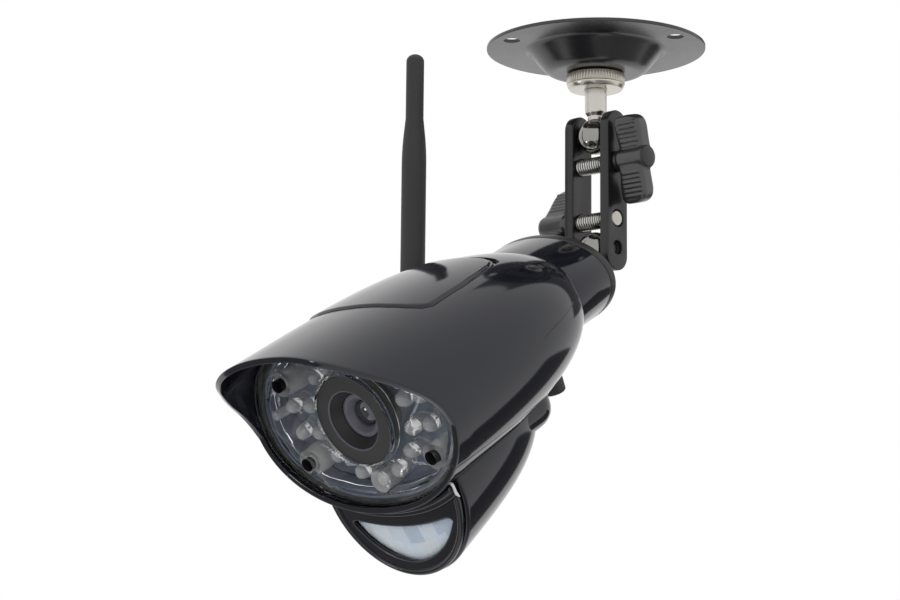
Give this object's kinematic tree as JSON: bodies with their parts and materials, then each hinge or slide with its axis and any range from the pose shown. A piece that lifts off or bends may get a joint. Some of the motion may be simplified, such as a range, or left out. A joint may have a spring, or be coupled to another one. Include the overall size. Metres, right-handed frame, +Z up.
{
  "type": "wireless security camera",
  "caption": "Bullet security camera with hooded lens, infrared lamps, motion sensor pod and fold-up antenna, hung from a ceiling flange by a two-ball clamp bracket.",
  "frame": {"origin": "centre of the ceiling flange's upper mounting face", "axes": "+Z up into the ceiling, -Y the way the camera looks, +X across the clamp plates, upper knob side"},
  "size_m": [0.0961, 0.1836, 0.1816],
  "materials": {
    "black_paint": "satin powder coat",
    "nickel": "nickel plated",
    "chrome": "polished plating",
    "zinc_steel": "zinc plated thread",
    "knob_black": "satin moulded",
    "housing_gloss": "high gloss",
    "satin_black": "fine satin",
    "inner_black": "moulded",
    "brass": "turned",
    "clear": "clear polycarbonate",
    "lamp_clear": "clear epoxy",
    "rubber": "moulded",
    "slate_board": "solder mask",
    "green_board": "solder mask",
    "lens_grey": "satin barrel",
    "lens_glass": "coated glass",
    "pir_white": "translucent moulded lens",
    "tinned": "tinned can"
  },
  "bodies": {
    "flange": {"ceiling_flange": "black_paint"},
    "stem": {"stem": "chrome", "flange_nut": "zinc_steel"},
    "stem_nut": {"stem_lock_nut": "nickel"},
    "clamp": {"clamp_plate_left": "black_paint", "clamp_plate_right": "black_paint"},
    "upper_clamp_screw": {"upper_screw": "zinc_steel", "upper_knob": "knob_black", "upper_cap": "knob_black"},
    "lower_clamp_screw": {"lower_screw": "zinc_steel", "lower_knob": "knob_black", "lower_cap": "knob_black"},
    "stud": {"camera_stud": "chrome"},
    "stud_nut": {"camera_lock_nut": "nickel"},
    "camera": {"upper_shell": "housing_gloss", "top_panel": "housing_gloss", "rear_collar": "housing_gloss", "rear_cap": "satin_black", "stud_insert": "brass", "lower_shell": "housing_gloss", "window_frame": "satin_black", "front_window": "clear", "window_gasket": "rubber", "window_screws": "zinc_steel", "led_board": "slate_board", "ir_lamps": "lamp_clear", "light_sensor": "lamp_clear", "status_pipe": "lamp_clear", "lens_shroud": "satin_black", "lens_barrel": "lens_grey", "lens_glass": "lens_glass", "lens_mount": "inner_black", "image_sensor": "green_board", "main_board": "green_board", "radio_shield": "tinned", "board_carrier": "inner_black", "pod_housing": "housing_gloss", "pod_bezel": "housing_gloss", "pir_lens": "pir_white", "pir_board": "green_board", "pir_sensor": "tinned", "power_jack": "inner_black", "jack_boot": "rubber", "button_switch": "green_board", "antenna_socket": "brass", "shell_screws": "zinc_steel"},
    "button": {"pairing_button": "satin_black"},
    "elbow": {"antenna_elbow": "satin_black"},
    "whip": {"antenna_whip": "rubber"}
  },
  "joints": [
    {"name": "stem_turn", "type": "hinge", "parent": "flange", "child": "stem", "pos_m": [0, 0, 0], "axis": [0, 0, 1], "continuous": true},
    {"name": "stem_nut_turn", "type": "hinge", "parent": "stem", "child": "stem_nut", "pos_m": [0, 0, 0], "axis": [0, 0, 1], "continuous": true},
    {"name": "bracket_swing", "type": "hinge", "parent": "stem", "child": "clamp", "pos_m": [0, 0, -0.0314], "axis": [1, 0, 0], "range_deg": [-40, 40]},
    {"name": "upper_screw_turn", "type": "hinge", "parent": "clamp", "child": "upper_clamp_screw", "pos_m": [0, 0, -0.0414], "axis": [1, 0, 0], "continuous": true},
    {"name": "lower_screw_turn", "type": "hinge", "parent": "clamp", "child": "lower_clamp_screw", "pos_m": [0, 0, -0.0608], "axis": [1, 0, 0], "continuous": true},
    {"name": "camera_tilt", "type": "hinge", "parent": "clamp", "child": "stud", "pos_m": [0, 0, -0.0708], "axis": [1, 0, 0], "range_deg": [-25, 40]},
    {"name": "camera_roll", "type": "hinge", "parent": "stud", "child": "camera", "pos_m": [0, 0, -0.0708], "axis": [0, -0.8729, -0.4879], "range_deg": [-20, 20]},
    {"name": "stud_nut_turn", "type": "hinge", "parent": "stud", "child": "stud_nut", "pos_m": [0, 0, -0.0708], "axis": [0, -0.8729, -0.4879], "continuous": true},
    {"name": "antenna_swivel", "type": "hinge", "parent": "camera", "child": "elbow", "pos_m": [-0.049, -0.03879, -0.09236], "axis": [1, 0, 0], "range_deg": [-95, 95]},
    {"name": "antenna_fold", "type": "hinge", "parent": "elbow", "child": "whip", "pos_m": [-0.049, -0.03879, -0.09236], "axis": [0, 1, 0], "range_deg": [-90, 0]},
    {"name": "pairing_press", "type": "slide", "parent": "camera", "child": "button", "axis": [0, -0.8729, -0.4879], "range_m": [0, 0.0006], "stiffness_N_per_m": 600, "springref_m": -0.0005}
  ]
}
